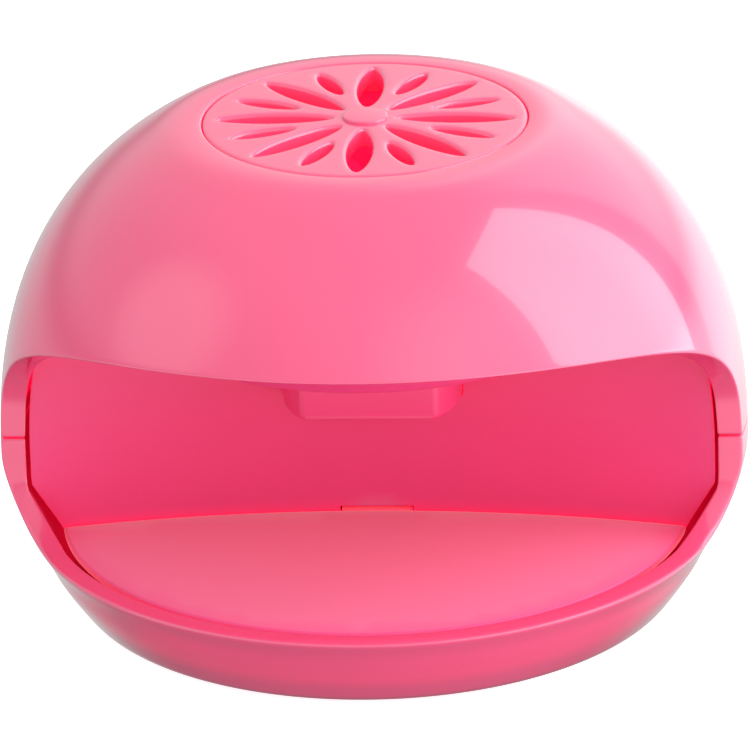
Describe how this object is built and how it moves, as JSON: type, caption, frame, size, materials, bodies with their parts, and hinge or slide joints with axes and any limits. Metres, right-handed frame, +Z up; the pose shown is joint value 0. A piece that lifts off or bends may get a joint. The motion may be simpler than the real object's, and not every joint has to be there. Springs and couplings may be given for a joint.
{
  "type": "nail lamp",
  "caption": "Dome shaped nail lamp with a hand opening, a sprung finger plate, a fan under a petal vent grille and small UV LEDs under the ceiling.",
  "frame": {"origin": "middle of the object's box at the table, under the four feet", "axes": "+X to the object's left as it faces the user (right in a front view), +Y the way the fingers go in, +Z up"},
  "size_m": [0.131, 0.1267, 0.0889],
  "materials": {
    "shell_pink": "glossy moulded ABS, pink",
    "plate_pink": "satin moulded ABS, pink",
    "inner_pink": "satin moulded ABS, pink",
    "white_plastic": "natural white plastic",
    "black_plastic": "black moulded plastic",
    "steel": "nickel plated steel",
    "brass": "bright brass sheet",
    "copper": "lacquered copper windings on an iron core",
    "magnet": "sintered ferrite",
    "circuit_board": "green solder mask",
    "led_clear": "clear epoxy with a violet cast",
    "cell_jacket": "plain grey cell jacket",
    "rubber_foot": "dull rubber",
    "red_wire": "red PVC insulation",
    "black_wire": "black PVC insulation"
  },
  "bodies": {
    "lamp_body": {"upper_shell": "shell_pink", "lower_shell": "shell_pink", "top_grille": "shell_pink", "back_wall": "inner_pink", "ceiling_panel": "inner_pink", "motor_cover": "inner_pink", "battery_box": "inner_pink", "fan_housing": "inner_pink", "motor_end_cap": "white_plastic", "switch_body": "black_plastic", "driver_chip": "black_plastic", "plate_hinge_pin": "steel", "plate_spring_left": "steel", "plate_spring_right": "steel", "motor_can": "steel", "contact_spring_1": "steel", "contact_spring_2": "steel", "contact_spring_3": "steel", "shell_screw_left": "steel", "shell_screw_right": "steel", "shell_screw_rear": "steel", "ceiling_screw_1": "steel", "ceiling_screw_2": "steel", "ceiling_screw_3": "steel", "cover_screw_left": "steel", "cover_screw_right": "steel", "contact_bridge_left": "brass", "contact_bridge_right": "brass", "contact_tab_left": "brass", "contact_tab_right": "brass", "motor_magnet_left": "magnet", "motor_magnet_right": "magnet", "led_board": "circuit_board", "control_board": "circuit_board", "uv_led_1": "led_clear", "uv_led_2": "led_clear", "uv_led_3": "led_clear", "uv_led_4": "led_clear", "uv_led_5": "led_clear", "uv_led_6": "led_clear", "battery_cell_1": "cell_jacket", "battery_cell_2": "cell_jacket", "battery_cell_3": "cell_jacket", "foot_front_left": "rubber_foot", "foot_front_right": "rubber_foot", "foot_rear_left": "rubber_foot", "foot_rear_right": "rubber_foot", "wire_battery_red": "red_wire", "wire_switch": "red_wire", "wire_motor_red": "red_wire", "wire_led_red": "red_wire", "wire_battery_black": "black_wire", "wire_led_black": "black_wire"},
    "press_plate": {"press_plate": "plate_pink"},
    "switch_plunger": {"switch_plunger": "white_plastic"},
    "fan_rotor": {"impeller": "inner_pink", "motor_shaft": "steel", "motor_armature": "copper"},
    "battery_door": {"battery_door": "shell_pink"}
  },
  "joints": [
    {"name": "press_plate_hinge", "type": "hinge", "parent": "lamp_body", "child": "press_plate", "pos_m": [0, 0.00246, 0.0124], "axis": [1, 0, 0], "range_deg": [0, 1.6], "stiffness_Nm_per_rad": 0.8, "springref_deg": -3.44, "deforming": ["plate_spring_left", "plate_spring_right"]},
    {"name": "switch_press", "type": "slide", "parent": "lamp_body", "child": "switch_plunger", "axis": [0, 0, -1], "range_m": [0, 0.000986], "stiffness_N_per_m": 0.3, "springref_m": -0.0019},
    {"name": "fan_spin", "type": "hinge", "parent": "lamp_body", "child": "fan_rotor", "pos_m": [0, -0.00214, 0.0392], "axis": [0, 0, 1], "continuous": true},
    {"name": "battery_door_hinge", "type": "hinge", "parent": "lamp_body", "child": "battery_door", "pos_m": [0, 0.00686, 0.00185], "axis": [-1, 0, 0], "range_deg": [0, 95]}
  ],
  "couplings": [
    {"joint": "switch_press", "follows": "press_plate_hinge", "m_per_rad": 0.0346}
  ]
}
